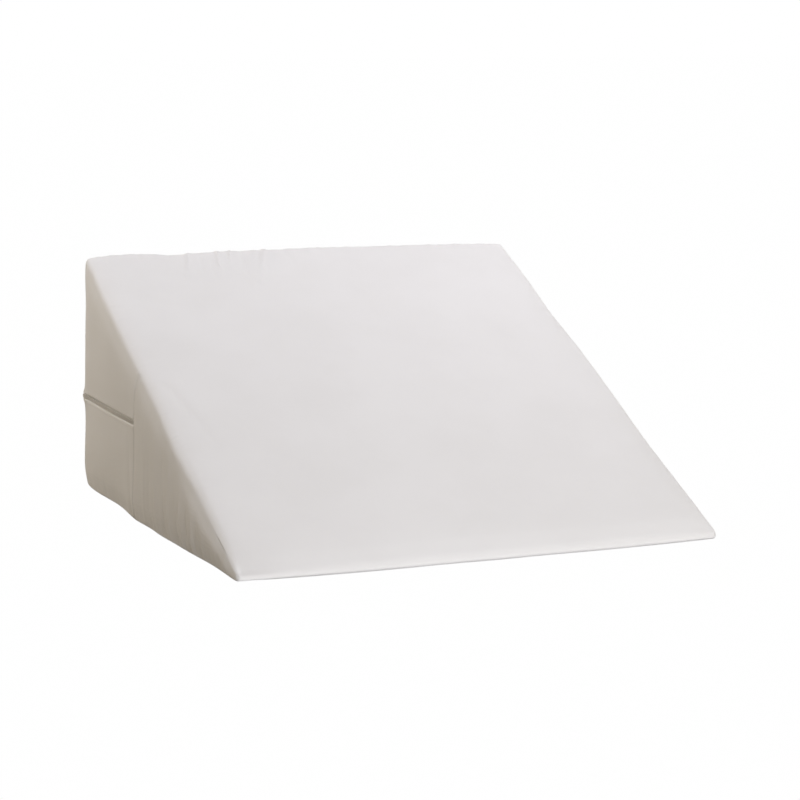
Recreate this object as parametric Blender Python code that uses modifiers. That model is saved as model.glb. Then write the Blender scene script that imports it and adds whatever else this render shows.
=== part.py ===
"""Wedge cushion: a foam wedge in a sewn cotton cover, with a coil zip set into its tall end.

Frame: origin on the floor under the middle of the cushion, +X across the width, +Y to the tall end, +Z up.
Every size is in metres.
"""

import math
from collections import namedtuple

import bmesh
import bpy
from mathutils import Matrix, Vector

# Cover, seam to seam
WIDTH = 0.606
DEPTH = 0.614
HEIGHT = 0.308
TIP_HEIGHT = 0.014
EDGE_RADIUS = 0.0065
EDGE_STEPS = 3

# How far the filling swells each panel between its seams
SLOPE_CROWN = 0.0050
SIDE_CROWN = 0.0035
BACK_CROWN = 0.0060
FRONT_BOW = 0.0030

# The sloping panel rolls over the thin end, lower and lower over the last of its depth
NOSE_ROLL = 0.0040
NOSE_REACH = 0.028
NOSE_LINES = (0.012, 0.019)

# The side panels are fullest two thirds of the way back, where the curve in swell has this height
SIDE_PEAK = 4.0 / 27.0

# How far each sewn corner is drawn in towards the middle of the cushion
Corner = namedtuple("Corner", "side end level draw")
CORNERS = (
    Corner("left", "back", "top", 0.0030),
    Corner("left", "back", "base", 0.0015),
    Corner("left", "front", "top", 0.0095),
    Corner("left", "front", "base", 0.0110),
    Corner("right", "back", "top", 0.0024),
    Corner("right", "back", "base", 0.0030),
    Corner("right", "front", "top", 0.0030),
    Corner("right", "front", "base", 0.0032),
)
CORNER_SHARPNESS = 8
TIP_PINCH = 0.5

# Spacing of the lines that divide the panels
ACROSS_STEPS = 24
DEPTH_STEPS = 22
HEIGHT_STEPS = 10

# Upright side seam, where the back band meets the triangular side panel
SEAM_FROM_TIP = 0.367
SEAM_Y = SEAM_FROM_TIP - DEPTH / 2
SEAM_DEPTH = 0.0012
SEAM_HALF_WIDTH = 0.005

# Zip channel, level with the floor, from one side seam round the back to the other
ZIP_HEIGHT = 0.123
CHANNEL_SHOULDER = 0.0090
CHANNEL_LIP = 0.0040
CHANNEL_FLOOR = 0.0028
CHANNEL_DEPTH = 0.0030
LIP_RISE = 0.0008
ZIP_CORNER_RISE = 0.0030
ZIP_CORNER_REACH = 0.014
CHANNEL_END = SEAM_Y + 0.003
CHANNEL_END_WALL = 0.001

# Zip
CHAIN_HEIGHT = 0.0050
CHAIN_THICKNESS = 0.0016
CHAIN_CROWN = 0.0003
CLEARANCE = 0.0003
SLIDER_LENGTH = 0.0110
SLIDER_WIDTH = 0.0066
SLIDER_THICKNESS = 0.0019
SLIDER_FROM_END = 0.0075
BRIDGE_LENGTH = 0.0084
BRIDGE_WIDTH = 0.0020
BRIDGE_RISE = 0.0028
WINDOW_LENGTH = 0.0060
WINDOW_RISE = 0.0018
PULL_LENGTH = 0.0240
PULL_WIDTH = 0.0054
PULL_THICKNESS = 0.0012
PULL_PIN = 0.0014
PULL_SLOT_LENGTH = 0.0070
PULL_SLOT_WIDTH = 0.0027
PULL_TILT = math.radians(2.4)

CUTTER_OVERHANG = 0.004
ON_LINE = 1e-5

# Faces that tilt less than this are upright, and points whose way out is more level than this are on a side
UPRIGHT_TILT = 0.1
SIDEWAYS = 0.9

# Swells and dips along the edges. Along is the place of the middle: from the middle of the width on the edges
# that run across, from the tip on those that run front to back, and from the floor on the upright ones.
EdgeWave = namedtuple("EdgeWave", "edge along reach out")
EDGE_WAVES = (
    EdgeWave("top back", -0.245, 0.055, 0.0024),
    EdgeWave("top back", -0.180, 0.022, -0.0028),
    EdgeWave("top back", -0.105, 0.045, 0.0012),
    EdgeWave("top back", 0.015, 0.060, 0.0018),
    EdgeWave("top back", 0.130, 0.060, 0.0006),
    EdgeWave("left base", 0.575, 0.030, 0.0020),
    EdgeWave("left base", 0.470, 0.040, -0.0026),
    EdgeWave("left base", 0.365, 0.045, 0.0040),
    EdgeWave("left base", 0.270, 0.030, 0.0026),
    EdgeWave("left base", 0.090, 0.070, -0.0050),
    EdgeWave("right base", 0.440, 0.050, 0.0020),
    EdgeWave("right base", 0.310, 0.045, -0.0016),
    EdgeWave("right base", 0.160, 0.060, 0.0014),
    EdgeWave("left slope", 0.480, 0.060, 0.0014),
    EdgeWave("left slope", 0.330, 0.030, -0.0012),
    EdgeWave("left slope", 0.220, 0.040, 0.0010),
    EdgeWave("right slope", 0.450, 0.050, -0.0026),
    EdgeWave("right slope", 0.170, 0.090, -0.0026),
    EdgeWave("left back", 0.255, 0.060, -0.0022),
    EdgeWave("right back", 0.235, 0.050, -0.0014),
    EdgeWave("right back", 0.060, 0.040, 0.0012),
    EdgeWave("front", -0.120, 0.060, 0.0012),
    EdgeWave("front", 0.020, 0.022, 0.0014),
    EdgeWave("front", 0.150, 0.070, 0.0010),
)
EDGE_WAVE_SPREAD = 0.030

COVER_COLOUR = (0.79, 0.78, 0.78, 1.0)
ZIP_COLOUR = (0.55, 0.53, 0.49, 1.0)
SLIDER_COLOUR = (0.62, 0.61, 0.59, 1.0)


def clear_scene():
    for item in list(bpy.data.objects):
        bpy.data.objects.remove(item, do_unlink=True)


def new_collection(name):
    collection = bpy.data.collections.new(name)
    bpy.context.scene.collection.children.link(collection)
    return collection


def new_material(name, colour, roughness, metallic=0.0):
    material = bpy.data.materials.new(name)
    material.use_nodes = True
    shader = material.node_tree.nodes["Principled BSDF"]
    shader.inputs["Base Color"].default_value = colour
    shader.inputs["Roughness"].default_value = roughness
    shader.inputs["Metallic"].default_value = metallic
    return material


def new_object(name, bm, collection, material=None):
    mesh = bpy.data.meshes.new(name)
    bm.to_mesh(mesh)
    bm.free()
    obj = bpy.data.objects.new(name, mesh)
    collection.objects.link(obj)
    if material:
        mesh.materials.append(material)
    return obj


def slope_height(y):
    """Height of the sloping panel's straight line above the floor."""
    from_tip = (y + DEPTH / 2) / DEPTH
    return TIP_HEIGHT + (HEIGHT - TIP_HEIGHT) * min(max(from_tip, 0.0), 1.0)


def sharp_wedge():
    """A cube primitive with its front top edge brought down to the tip."""
    bm = bmesh.new()
    bmesh.ops.create_cube(bm, size=1.0)
    for vert in bm.verts:
        x, y, z = vert.co
        vert.co = Vector((x * WIDTH, y * DEPTH, 0.0))
        vert.co.z = slope_height(vert.co.y) * (z + 0.5)
    return bm


def divide(bm, point, normal):
    bmesh.ops.bisect_plane(
        bm, geom=bm.verts[:] + bm.edges[:] + bm.faces[:], dist=ON_LINE, plane_co=point, plane_no=normal
    )


def divide_panels(bm):
    """Even lines over the panels, and closer ones at the side seam and the zip channel."""
    for i in range(1, ACROSS_STEPS):
        x = (i / ACROSS_STEPS - 0.5) * WIDTH
        divide(bm, (x, 0, 0), (1, 0, 0))
    depth_lines = [(i / DEPTH_STEPS - 0.5) * DEPTH for i in range(1, DEPTH_STEPS)]
    depth_lines = [y for y in depth_lines if abs(y - SEAM_Y) > 2 * SEAM_HALF_WIDTH]
    depth_lines += [from_tip - DEPTH / 2 for from_tip in NOSE_LINES]
    depth_lines += [SEAM_Y - SEAM_HALF_WIDTH, SEAM_Y, SEAM_Y + SEAM_HALF_WIDTH]
    depth_lines += [CHANNEL_END - CHANNEL_END_WALL, CHANNEL_END]
    for y in depth_lines:
        divide(bm, (0, y, 0), (0, 1, 0))
    height_lines = [HEIGHT * i / HEIGHT_STEPS for i in range(1, HEIGHT_STEPS)]
    height_lines = [z for z in height_lines if abs(z - ZIP_HEIGHT) > CHANNEL_SHOULDER]
    for offset in (CHANNEL_SHOULDER, CHANNEL_LIP, CHANNEL_FLOOR):
        height_lines += [ZIP_HEIGHT - offset, ZIP_HEIGHT + offset]
    height_lines.append(ZIP_HEIGHT)
    for z in height_lines:
        side_faces = [face for face in bm.faces if abs(face.normal.z) < UPRIGHT_TILT]
        geometry = side_faces + list({edge for face in side_faces for edge in face.edges})
        geometry += list({vert for face in side_faces for vert in face.verts})
        bmesh.ops.bisect_plane(bm, geom=geometry, dist=ON_LINE, plane_co=(0, 0, z), plane_no=(0, 0, 1))


def bell(distance, reach):
    return math.exp(-((distance / reach) ** 2))


def swell(place):
    """How far the filling pushes a point of the straight wedge outwards."""
    across = place.x / (WIDTH / 2)
    back = (place.y + DEPTH / 2) / DEPTH
    up = place.z / slope_height(place.y)
    middle_across = 1.0 - across**2
    middle_up = 4.0 * up * (1.0 - up)
    slope_normal = Vector((0.0, TIP_HEIGHT - HEIGHT, DEPTH)).normalized()
    push = slope_normal * SLOPE_CROWN * middle_across * math.sin(math.pi * back) * up
    push.x += SIDE_CROWN * across * middle_up * back**2 * (1.0 - back) / SIDE_PEAK
    push.y += BACK_CROWN * middle_across * middle_up * back**4
    push.y -= FRONT_BOW * (1.0 - across**4) * (1.0 - back) ** 8
    push.z -= NOSE_ROLL * up * max(0.0, 1.0 - back * DEPTH / NOSE_REACH) ** 2
    return push


def corner_draw(place):
    """The sewn corners are drawn in towards the middle of the cushion."""
    across = place.x / (WIDTH / 2)
    back = 2.0 * (place.y + DEPTH / 2) / DEPTH - 1.0
    up = 2.0 * place.z / slope_height(place.y) - 1.0
    side = "left" if across < 0.0 else "right"
    end = "front" if back < 0.0 else "back"
    level = "base" if up < 0.0 else "top"
    draw = next(corner.draw for corner in CORNERS if corner[:3] == (side, end, level))
    nearness = abs(across * back * up) ** CORNER_SHARPNESS
    pinch = 1.0 if back > 0.0 else TIP_PINCH
    inwards = Vector((math.copysign(1.0, across), math.copysign(1.0, back), math.copysign(pinch, up)))
    return -nearness * draw * inwards


def edge_frame(edge, place):
    """Place along an edge, distance from it, and the way its waves push."""
    top = slope_height(place.y)
    from_tip = place.y + DEPTH / 2
    left, right = place.x + WIDTH / 2, place.x - WIDTH / 2
    if edge == "top back":
        return place.x, math.hypot(place.y - DEPTH / 2, place.z - HEIGHT), Vector((0.0, 0.3, 1.0))
    if edge == "front":
        return place.x, math.hypot(from_tip, place.z), Vector((0.0, -1.0, 0.0))
    if edge == "left base":
        return from_tip, math.hypot(left, place.z), Vector((-1.0, 0.0, 0.0))
    if edge == "right base":
        return from_tip, math.hypot(right, place.z), Vector((1.0, 0.0, 0.0))
    if edge == "left slope":
        return from_tip, math.hypot(left, place.z - top), Vector((-0.6, 0.0, 0.8))
    if edge == "right slope":
        return from_tip, math.hypot(right, place.z - top), Vector((0.6, 0.0, 0.8))
    if edge == "left back":
        return place.z, math.hypot(left, place.y - DEPTH / 2), Vector((-1.0, 0.5, 0.0))
    return place.z, math.hypot(right, place.y - DEPTH / 2), Vector((1.0, 0.5, 0.0))


def edge_waves(place):
    push = Vector((0.0, 0.0, 0.0))
    for wave in EDGE_WAVES:
        along, away, way = edge_frame(wave.edge, place)
        push += way * wave.out * bell(along - wave.along, wave.reach) * bell(away, EDGE_WAVE_SPREAD)
    return push


def on_channel_floor(place):
    return abs(place.z - ZIP_HEIGHT) < CHANNEL_FLOOR + ON_LINE and place.y > CHANNEL_END - ON_LINE


def sewn_in(place, outward):
    """The side seams and the zip channel are drawn into the cover, and the zip stands out where it turns."""
    flat = Vector((outward.x, outward.y, 0.0))
    if flat.length < SIDEWAYS:
        return Vector((0.0, 0.0, 0.0))
    flat.normalize()
    push = 0.0
    if abs(place.z - ZIP_HEIGHT) < CHANNEL_LIP + ON_LINE and place.y > CHANNEL_END - ON_LINE:
        from_corner = math.hypot(abs(place.x) - WIDTH / 2, place.y - DEPTH / 2)
        push = LIP_RISE + ZIP_CORNER_RISE * bell(from_corner, ZIP_CORNER_REACH)
    if on_channel_floor(place):
        push -= CHANNEL_DEPTH
    elif abs(place.y - SEAM_Y) < ON_LINE and abs(place.x) > WIDTH / 2 - ON_LINE:
        push -= SEAM_DEPTH
    return flat * push


def make_cushion(collection, material):
    """The filled cover. Returns its zip channel's middle line, left end first, with the ways out along it."""
    bm = sharp_wedge()
    bmesh.ops.bevel(
        bm, geom=bm.edges[:], offset=EDGE_RADIUS, segments=EDGE_STEPS, profile=0.5, affect="EDGES"
    )
    divide_panels(bm)
    bm.normal_update()
    pushes = {}
    for vert in bm.verts:
        push = swell(vert.co) + corner_draw(vert.co) + edge_waves(vert.co) + sewn_in(vert.co, vert.normal)
        if vert.co.z < ON_LINE:
            push.z = max(push.z, 0.0)
        pushes[vert] = push
    channel = [vert for vert in bm.verts if on_channel_floor(vert.co)]
    channel = [vert for vert in channel if abs(vert.co.z - ZIP_HEIGHT) < ON_LINE]
    outward = {vert: Vector((vert.normal.x, vert.normal.y, 0.0)).normalized() for vert in channel}
    for vert, push in pushes.items():
        vert.co += push
    channel.sort(key=lambda vert: -math.atan2(vert.co.y, vert.co.x))
    zip_path = [(vert.co.copy(), outward[vert]) for vert in channel]
    bmesh.ops.triangulate(bm, faces=bm.faces[:])
    bmesh.ops.recalc_face_normals(bm, faces=bm.faces[:])
    cushion = new_object("wedge_cushion", bm, collection, material)
    cushion.data.shade_smooth()
    return zip_path


def make_chain(zip_path, collection, material):
    """A grid primitive laid along the channel floor, with its thickness added outwards."""
    rows = (-0.5, 0.0, 0.5)
    bm = bmesh.new()
    bmesh.ops.create_grid(bm, x_segments=len(zip_path) - 1, y_segments=len(rows) - 1, size=0.5)
    for vert in bm.verts:
        step = round((vert.co.x + 0.5) * (len(zip_path) - 1))
        row = rows[round((vert.co.y + 0.5) * (len(rows) - 1))]
        floor, outward = zip_path[step]
        lift = CLEARANCE + CHAIN_CROWN * (row == 0.0)
        vert.co = floor + outward * lift + Vector((0.0, 0.0, row * CHAIN_HEIGHT))
    bmesh.ops.recalc_face_normals(bm, faces=bm.faces[:])
    middle = min(bm.faces, key=lambda face: abs(face.calc_center_median().x))
    if middle.normal.y < 0.0:
        bmesh.ops.reverse_faces(bm, faces=bm.faces[:])
    chain = new_object("zip_chain", bm, collection, material)
    wall = chain.modifiers.new("Thickness", "SOLIDIFY")
    wall.thickness = CHAIN_THICKNESS
    wall.offset = 1.0
    wall.use_even_offset = True


def box(name, size, centre, collection, material=None, bevel=0.0):
    bm = bmesh.new()
    bmesh.ops.create_cube(bm, size=1.0)
    bmesh.ops.scale(bm, vec=size, verts=bm.verts[:])
    if bevel:
        bmesh.ops.bevel(bm, geom=bm.edges[:], offset=bevel, segments=2, profile=0.5, affect="EDGES")
    bmesh.ops.translate(bm, vec=centre, verts=bm.verts[:])
    return new_object(name, bm, collection, material)


def join_or_cut(obj, other, operation):
    modifier = obj.modifiers.new(other.name, "BOOLEAN")
    modifier.operation = operation
    modifier.object = other
    modifier.solver = "EXACT"


def as_cutter(obj):
    obj.hide_render = True
    obj.display_type = "WIRE"
    return obj


def make_slider(face_x, middle_y, collection, cutters, material):
    """The slider's outer plate and the bridge that holds the pull. Returns the plate's outer face."""
    plate_x = face_x + CLEARANCE + SLIDER_THICKNESS / 2
    top_x = plate_x + SLIDER_THICKNESS / 2
    slider = box(
        "zip_slider", (SLIDER_THICKNESS, SLIDER_LENGTH, SLIDER_WIDTH), (plate_x, middle_y, ZIP_HEIGHT),
        collection, material, bevel=0.0006,
    )
    bridge_base = SLIDER_THICKNESS / 2
    bridge = as_cutter(box(
        "slider_bridge", (BRIDGE_RISE + bridge_base, BRIDGE_LENGTH, BRIDGE_WIDTH),
        (top_x + (BRIDGE_RISE - bridge_base) / 2, middle_y, ZIP_HEIGHT), cutters, bevel=0.0004,
    ))
    window = as_cutter(box(
        "slider_window", (WINDOW_RISE, WINDOW_LENGTH, BRIDGE_WIDTH + 2 * CUTTER_OVERHANG),
        (top_x + WINDOW_RISE / 2, middle_y, ZIP_HEIGHT), cutters,
    ))
    join_or_cut(slider, bridge, "UNION")
    join_or_cut(slider, window, "DIFFERENCE")
    return top_x


def make_pull(top_x, middle_y, collection, cutters, material):
    """A flat tab whose end bar lies under the bridge, laid back along the zip."""
    front_y = middle_y - PULL_PIN / 2 - CLEARANCE
    centre = Vector((top_x + WINDOW_RISE / 2, front_y + PULL_LENGTH / 2, ZIP_HEIGHT))
    pull = box(
        "zip_pull", (PULL_THICKNESS, PULL_LENGTH, PULL_WIDTH), centre, collection, material, bevel=0.0004
    )
    slot_y = front_y + PULL_PIN + PULL_SLOT_LENGTH / 2
    slot = as_cutter(box(
        "pull_slot", (PULL_THICKNESS + 2 * CUTTER_OVERHANG, PULL_SLOT_LENGTH, PULL_SLOT_WIDTH),
        (centre.x, slot_y, ZIP_HEIGHT), cutters,
    ))
    pin = Vector((centre.x, front_y + PULL_PIN / 2, ZIP_HEIGHT))
    turn = Matrix.Translation(pin) @ Matrix.Rotation(PULL_TILT, 4, "Z") @ Matrix.Translation(-pin)
    for item in (pull, slot):
        item.data.transform(turn)
    join_or_cut(pull, slot, "DIFFERENCE")


def main():
    clear_scene()
    parts = new_collection("Wedge cushion")
    cutters = new_collection("Cutters")
    cotton = new_material("White cotton cover", COVER_COLOUR, 0.9)
    nylon = new_material("Grey nylon coil", ZIP_COLOUR, 0.6)
    enamel = new_material("Enamelled slider", SLIDER_COLOUR, 0.35, 0.6)
    zip_path = make_cushion(parts, cotton)
    make_chain(zip_path, parts, nylon)
    end, _ = zip_path[-1]
    face_x = end.x + CLEARANCE + CHAIN_CROWN + CHAIN_THICKNESS
    middle_y = end.y + SLIDER_FROM_END
    top_x = make_slider(face_x, middle_y, parts, cutters, enamel)
    make_pull(top_x, middle_y, parts, cutters, enamel)


main()
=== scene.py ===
"""Wedge cushion on a pale studio floor: a foam wedge in a sewn white cotton cover, with a coil zip.

The cover, the zip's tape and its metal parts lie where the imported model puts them. Every size is in metres,
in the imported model's frame: origin on the floor, +X across the width, +Y to the tall end, +Z up.
"""

import logging
import math
import random
from dataclasses import dataclass, field
from enum import Enum
from typing import Sequence

import bpy
import numpy as np
from mathutils import Matrix, Vector
from mathutils.bvhtree import BVHTree


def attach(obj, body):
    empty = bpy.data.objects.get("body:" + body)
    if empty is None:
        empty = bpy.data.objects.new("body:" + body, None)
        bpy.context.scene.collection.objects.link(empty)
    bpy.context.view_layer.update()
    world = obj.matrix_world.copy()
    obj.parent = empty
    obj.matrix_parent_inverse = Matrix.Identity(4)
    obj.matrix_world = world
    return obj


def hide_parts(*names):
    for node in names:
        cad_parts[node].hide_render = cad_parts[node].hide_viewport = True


logging.basicConfig(level=logging.INFO, format="%(message)s")
log = logging.getLogger("wedge_cushion")

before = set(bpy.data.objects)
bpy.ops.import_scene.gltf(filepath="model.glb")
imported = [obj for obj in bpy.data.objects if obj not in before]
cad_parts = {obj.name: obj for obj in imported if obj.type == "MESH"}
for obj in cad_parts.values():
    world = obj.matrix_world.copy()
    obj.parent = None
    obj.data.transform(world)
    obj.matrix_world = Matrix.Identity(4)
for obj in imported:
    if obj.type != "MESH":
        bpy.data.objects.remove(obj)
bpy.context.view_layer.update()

ROOT = "root"
COVER_NODE = "wedge_cushion"
CHAIN_NODE = "zip_chain"
SLIDER_NODE = "zip_slider"
PULL_NODE = "zip_pull"
UV_NAME = "cloth"
MILLIMETRE = 0.001
MERGE_DISTANCE = 1e-5
QUAD_ANGLE = math.radians(60)
TINY = 1e-9

RGB = tuple[float, float, float]
Triple = tuple[float, float, float]
Pair = tuple[float, float]
Piece = bpy.types.Object
Mesh = bpy.types.Mesh
Material = bpy.types.Material
Socket = bpy.types.NodeSocket
Traced = list[tuple[Vector, Vector]]
UP = Vector((0.0, 0.0, 1.0))


class Slot(Enum):
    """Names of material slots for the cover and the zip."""

    COVER = "cover"
    ZIP = "zip"


class Panel(Enum):
    """Cloth panels of the cover, each with the way that it faces."""

    SLOPE = (0.0, -0.4319, 0.9019)
    BACK = (0.0, 1.0, 0.0)
    BASE = (0.0, 0.0, -1.0)
    FRONT = (0.0, -1.0, 0.0)
    LEFT = (-1.0, 0.0, 0.0)
    RIGHT = (1.0, 0.0, 0.0)

    def facing(self) -> np.ndarray:
        """The panel's outward direction as an array."""
        return np.array(self.value)


@dataclass(frozen=True)
class WedgeSizes:
    """Sewn sizes of the cushion, seam to seam.

    Args:
        width: Across the cushion.
        depth: From the tip to the tall end.
        height: Height of the tall end.
        tip: Height of the thin end.
        edge_radius: Roll of the cloth over each seam.
        side_seam: Place of the upright seam on each side panel, from the tip.
        zip_height: Middle of the zip above the floor.
    """

    width: float = 0.606
    depth: float = 0.614
    height: float = 0.308
    tip: float = 0.014
    edge_radius: float = 0.0065
    side_seam: float = 0.367
    zip_height: float = 0.123

    def seam_y(self) -> float:
        """Place of the upright side seam in the frame."""
        return self.side_seam - self.depth / 2

    def slope_angle(self) -> float:
        """Slope of the top panel, in radians."""
        return math.atan2(self.height - self.tip, self.depth)

    def slope_length(self) -> float:
        """Length of the top panel from the tip to the top seam."""
        return math.hypot(self.height - self.tip, self.depth)

    def top_height(self, y: np.ndarray) -> np.ndarray:
        """Height of the straight slope over places along the depth."""
        share = np.clip((y + self.depth / 2) / self.depth, 0.0, 1.0)
        return self.tip + (self.height - self.tip) * share


SIZES = WedgeSizes()


def deselect_all() -> None:
    """Leave object mode with nothing selected."""
    if bpy.context.object and bpy.context.object.mode != "OBJECT":
        bpy.ops.object.mode_set(mode="OBJECT")
    bpy.ops.object.select_all(action="DESELECT")


def make_active(piece: Piece) -> None:
    """Select one piece alone and make it active.

    Args:
        piece: The piece.
    """
    deselect_all()
    piece.select_set(True)
    bpy.context.view_layer.objects.active = piece


def apply_modifiers(piece: Piece) -> None:
    """Apply each modifier of a piece in its order.

    Args:
        piece: The piece.
    """
    make_active(piece)
    for modifier in list(piece.modifiers):
        bpy.ops.object.modifier_apply(modifier=modifier.name)


def settle_transform(piece: Piece) -> None:
    """Put a piece's place into its mesh, so that its object sits at the origin."""
    make_active(piece)
    bpy.ops.object.transform_apply(location=True, rotation=True, scale=True)


def add_object(name: str, data: bpy.types.ID) -> Piece:
    """Link a new object to the scene.

    Args:
        name: Its name.
        data: Its mesh, light or camera.

    Returns:
        The object.
    """
    piece = bpy.data.objects.new(name, data)
    bpy.context.scene.collection.objects.link(piece)
    return piece


def copy_of_node(node: str, name: str) -> Piece:
    """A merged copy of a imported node.

    Args:
        node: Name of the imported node.
        name: Name of the new piece.

    Returns:
        The new object, with its own mesh and no materials.
    """
    piece = add_object(name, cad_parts[node].data.copy())
    piece.data.name = name
    piece.data.materials.clear()
    make_active(piece)
    bpy.ops.object.mode_set(mode="EDIT")
    bpy.ops.mesh.select_all(action="SELECT")
    bpy.ops.mesh.remove_doubles(threshold=MERGE_DISTANCE)
    bpy.ops.object.mode_set(mode="OBJECT")
    return piece


def stand_round(thing: Piece, middle: Vector, azimuth: float, elevation: float, distance: float) -> None:
    """Stand a lamp or the camera round a point, facing it.

    Args:
        thing: The lamp or the camera.
        middle: The point that it faces.
        azimuth: Way to it in degrees, nought in front of the tip and 90 on the right.
        elevation: Its height angle in degrees.
        distance: Its distance from the point.
    """
    level, up = math.radians(azimuth), math.radians(elevation)
    back = Vector((math.sin(level) * math.cos(up), -math.cos(level) * math.cos(up), math.sin(up)))
    thing.location = middle + back * distance
    thing.rotation_euler = (-back).to_track_quat("-Z", "Y").to_euler()


def places_of(mesh: Mesh) -> np.ndarray:
    """Vertex places of a mesh.

    Args:
        mesh: The mesh.

    Returns:
        One row for each vertex.
    """
    flat = np.zeros(len(mesh.vertices) * 3)
    mesh.vertices.foreach_get("co", flat)
    return flat.reshape(-1, 3)


def normals_of(mesh: Mesh) -> np.ndarray:
    """Vertex normals of a mesh.

    Args:
        mesh: The mesh.

    Returns:
        One row for each vertex.
    """
    flat = np.zeros(len(mesh.vertices) * 3)
    mesh.vertex_normals.foreach_get("vector", flat)
    return flat.reshape(-1, 3)


def tree_of(mesh: Mesh) -> BVHTree:
    """A search tree of a mesh's faces."""
    return BVHTree.FromPolygons([v.co for v in mesh.vertices], [tuple(f.vertices) for f in mesh.polygons])


def move_to(mesh: Mesh, places: np.ndarray) -> None:
    """Move the vertices of a mesh to new places."""
    mesh.vertices.foreach_set("co", places.ravel())
    mesh.update()


def bell(distance: np.ndarray, reach: float) -> np.ndarray:
    """A smooth bump of height one that fades over its reach."""
    return np.exp(-((distance / reach) ** 2))


def smooth_step(value: np.ndarray, low: float, high: float) -> np.ndarray:
    """Rise smoothly from nought at low to one at high."""
    share = np.clip((value - low) / (high - low), 0.0, 1.0)
    return share * share * (3.0 - 2.0 * share)


def joined_copies(model: Piece, places: Sequence[Matrix], name: str) -> Piece:
    """One mesh with a copy of a small model at each place.

    Args:
        model: The piece that is copied, then removed.
        places: Where each copy goes.
        name: Name of the joined piece.

    Returns:
        The joined object.
    """
    mesh = model.data
    base = places_of(mesh)
    faces = [tuple(face.vertices) for face in mesh.polygons]
    rows = np.hstack([base, np.ones((len(base), 1))])
    spots = np.concatenate([rows @ np.array(place).T[:, :3] for place in places])
    shift = len(base)
    all_faces = [tuple(i + n * shift for i in face) for n in range(len(places)) for face in faces]
    joined = bpy.data.meshes.new(name)
    joined.from_pydata(spots.tolist(), [], all_faces)
    joined.update()
    joined.shade_smooth()
    bpy.data.objects.remove(model, do_unlink=True)
    return add_object(name, joined)


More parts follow.
